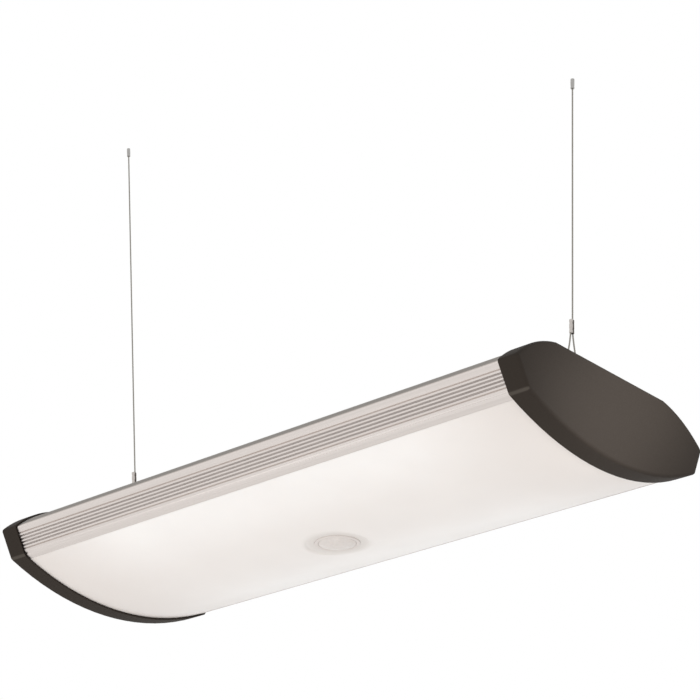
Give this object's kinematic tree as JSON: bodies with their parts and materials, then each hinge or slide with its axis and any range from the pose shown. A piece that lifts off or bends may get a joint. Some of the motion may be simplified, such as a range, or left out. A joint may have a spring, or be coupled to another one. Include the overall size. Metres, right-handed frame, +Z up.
{
  "type": "garage light",
  "caption": "Long hanging garage light: ribbed aluminium body with dark end caps, curved opal lens with a motion sensor, and wire hanging cables.",
  "frame": {"origin": "centre of the body's flat top face, midway between its two ceiling screw holes", "axes": "+X along the light towards its right end, +Y across it towards its rear, +Z up"},
  "size_m": [0.61, 0.2744, 0.5309],
  "materials": {
    "aluminium_body": "satin anodised extrusion",
    "end_cap_plastic": "dark grey moulded, fine texture",
    "opal_lens": "opal extruded sheet, satin",
    "sensor_plastic": "white moulded",
    "sensor_dome": "milky moulded lens",
    "white_steel": "white powder coat",
    "zinc_steel": "zinc plated",
    "circuit_board": "white solder mask",
    "led_package": "yellow phosphor",
    "connector_plastic": "white moulded",
    "bushing_rubber": "black moulded",
    "transformer_core": "dark ferrite with tape",
    "copper_winding": "enamelled copper",
    "can_aluminium": "bare can",
    "brass_tag": "plain",
    "supply_insulation": "black insulation",
    "earth_insulation": "green insulation",
    "led_insulation": "red insulation",
    "sensor_insulation": "white insulation",
    "rope_steel": "galvanised wire rope",
    "ferrule_aluminium": "crimped sleeve",
    "stop_steel": "swaged sleeve"
  },
  "bodies": {
    "fixture": {"board_connectors": "connector_plastic", "board_screws": "zinc_steel", "bracket_nuts": "zinc_steel", "bracket_screws": "zinc_steel", "driver_base": "zinc_steel", "driver_board": "circuit_board", "driver_bushings": "bushing_rubber", "driver_capacitors": "can_aluminium", "driver_choke": "copper_winding", "driver_cover": "white_steel", "driver_screws": "zinc_steel", "driver_transformer": "transformer_core", "earth_lead": "earth_insulation", "earth_screw": "zinc_steel", "earth_tag": "brass_tag", "end_cap_screws": "zinc_steel", "front_led_board": "circuit_board", "front_leds": "led_package", "housing": "aluminium_body", "infrared_detector": "can_aluminium", "inlet_bushing": "bushing_rubber", "led_leads": "led_insulation", "left_end_cap": "end_cap_plastic", "left_hanger_bracket": "zinc_steel", "lens": "opal_lens", "rear_led_board": "circuit_board", "rear_leds": "led_package", "right_end_cap": "end_cap_plastic", "right_hanger_bracket": "zinc_steel", "sensor_bezel": "sensor_plastic", "sensor_board": "circuit_board", "sensor_dome": "sensor_dome", "sensor_holder": "sensor_plastic", "sensor_leads": "sensor_insulation", "sensor_screws": "zinc_steel", "supply_leads": "supply_insulation", "terminal_block": "connector_plastic", "terminal_clamps": "zinc_steel", "terminal_screws": "zinc_steel", "tray": "white_steel"},
    "left_cable": {"left_cable_rope": "rope_steel", "left_cable_loop": "rope_steel", "left_cable_ferrule": "ferrule_aluminium", "left_cable_stop": "stop_steel"},
    "right_cable": {"right_cable_rope": "rope_steel", "right_cable_loop": "rope_steel", "right_cable_ferrule": "ferrule_aluminium", "right_cable_stop": "stop_steel"}
  },
  "joints": [
    {"name": "left_cable_swing", "type": "hinge", "parent": "fixture", "child": "left_cable", "pos_m": [-0.2645, 0, 0.01405], "axis": [0, 1, 0], "range_deg": [-41.1, 48.9]},
    {"name": "right_cable_swing", "type": "hinge", "parent": "fixture", "child": "right_cable", "pos_m": [0.2645, 0, 0.01405], "axis": [0, 1, 0], "range_deg": [-48.9, 41.1]}
  ]
}
